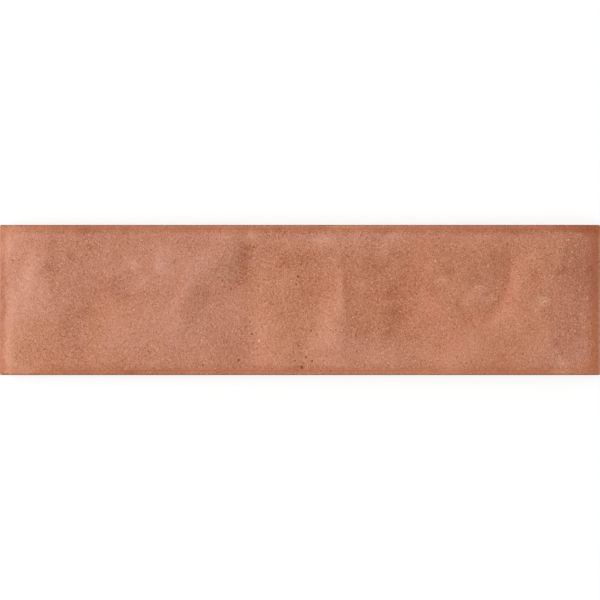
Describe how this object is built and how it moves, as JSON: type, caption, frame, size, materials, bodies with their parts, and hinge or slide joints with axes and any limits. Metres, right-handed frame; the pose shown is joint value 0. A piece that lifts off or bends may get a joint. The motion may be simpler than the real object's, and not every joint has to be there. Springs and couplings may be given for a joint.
{
  "type": "ceramic wall tile",
  "caption": "Long narrow glazed ceramic wall tile with a hand-pressed waved face, softened edges and a back of shallow square keying pockets.",
  "frame": {"origin": "middle of the plane of the back's ribs, which the tile rests and is bedded on", "axes": "+X along the tile's length, +Y across its width, +Z out of the glazed face"},
  "size_m": [0.3, 0.075, 0.0094],
  "materials": {
    "glazed_ceramic": "satin"
  },
  "bodies": {
    "root": {"wall_tile": "glazed_ceramic"}
  },
  "joints": []
}
